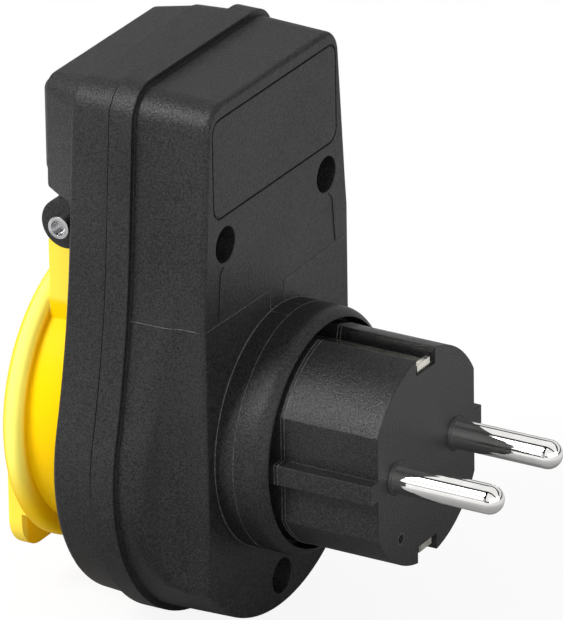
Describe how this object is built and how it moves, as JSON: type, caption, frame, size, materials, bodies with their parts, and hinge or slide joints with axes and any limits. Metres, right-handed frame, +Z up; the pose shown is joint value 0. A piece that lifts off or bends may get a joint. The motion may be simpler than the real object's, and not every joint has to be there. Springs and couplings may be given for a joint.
{
  "type": "switched socket adapter",
  "caption": "Black wall-plug adapter with an earthed two-pin plug at the back, a socket under a sprung yellow lid at the front and a rocker switch above it.",
  "frame": {"origin": "centre of the plug's flat face, on the plug's axis", "axes": "+Y out of the plug's face into the wall socket, +Z up, -Y towards the user"},
  "size_m": [0.06, 0.0882, 0.0959],
  "materials": {
    "housing_black": "fine grain",
    "plug_black": "satin",
    "socket_black": "satin",
    "switch_black": "semi gloss",
    "rocker_red": "gloss, tinted",
    "lid_yellow": "satin",
    "seal_rubber": "matt",
    "pin_nickel": "nickel plated",
    "earth_metal": "nickel plated strip",
    "contact_brass": "bare",
    "zinc_steel": "zinc plated",
    "spring_steel": "bright wire",
    "wire_blue": "sleeve"
  },
  "bodies": {
    "housing": {"rear_shell": "housing_black", "front_shell": "housing_black", "shell_seal": "seal_rubber", "housing_screws": "zinc_steel", "plug_insert": "plug_black", "plug_pin_neutral": "pin_nickel", "plug_pin_live": "pin_nickel", "plug_earth_strip_upper": "earth_metal", "plug_earth_strip_lower": "earth_metal", "neutral_contact": "contact_brass", "live_contact": "contact_brass", "live_feed_bar": "contact_brass", "lamp_lead": "wire_blue", "socket_insert": "socket_black", "earth_bow": "earth_metal", "switch_case": "switch_black", "switch_terminals": "contact_brass", "hinge_pin": "zinc_steel", "lid_spring": "spring_steel"},
    "lid": {"lid": "lid_yellow", "lid_seal": "seal_rubber"},
    "rocker": {"switch_rocker": "rocker_red"}
  },
  "joints": [
    {"name": "lid_hinge", "type": "hinge", "parent": "housing", "child": "lid", "pos_m": [0, -0.054, 0.03605], "axis": [-1, 0, 0], "range_deg": [0, 90], "stiffness_Nm_per_rad": 0.008, "springref_deg": -34.38, "deforming": ["lid_spring"]},
    {"name": "rocker_tilt", "type": "hinge", "parent": "housing", "child": "rocker", "pos_m": [0, -0.0564, 0.05], "axis": [0, 0, -1], "range_deg": [0, 20]}
  ]
}
